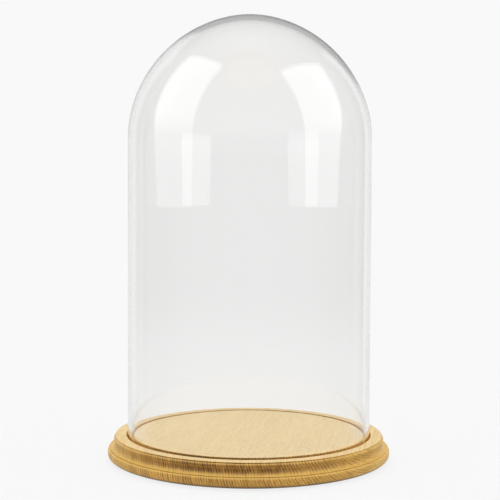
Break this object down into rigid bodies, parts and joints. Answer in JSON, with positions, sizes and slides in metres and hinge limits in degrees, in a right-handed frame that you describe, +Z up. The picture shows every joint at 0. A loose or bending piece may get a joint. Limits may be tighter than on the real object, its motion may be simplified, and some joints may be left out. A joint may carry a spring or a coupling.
{
  "type": "glass cloche",
  "caption": "Tall clear glass bell with a domed top, standing in a groove round the raised platform of a round turned wooden base; the bell lifts off.",
  "frame": {"origin": "centre of the circle that the felt pads stand on, on the axis of the bell and base", "axes": "+Z up along the axis of the bell and base; the turned shapes are the same all round, and +X is to the right seen from the front"},
  "size_m": [0.2676, 0.2676, 0.4189],
  "materials": {
    "glass": "clear blown soda-lime glass, gloss, ground lip",
    "wood": "turned hardwood, honey coloured clear satin oil finish",
    "felt": "brown pressed wool felt"
  },
  "bodies": {
    "base": {"wooden_base": "wood", "felt_pad_1": "felt", "felt_pad_2": "felt", "felt_pad_3": "felt", "felt_pad_4": "felt"},
    "dome": {"glass_dome": "glass"}
  },
  "joints": [
    {"name": "dome_lift", "type": "slide", "parent": "base", "child": "dome", "axis": [0, 0, 1], "range_m": [0, 0.4]}
  ]
}
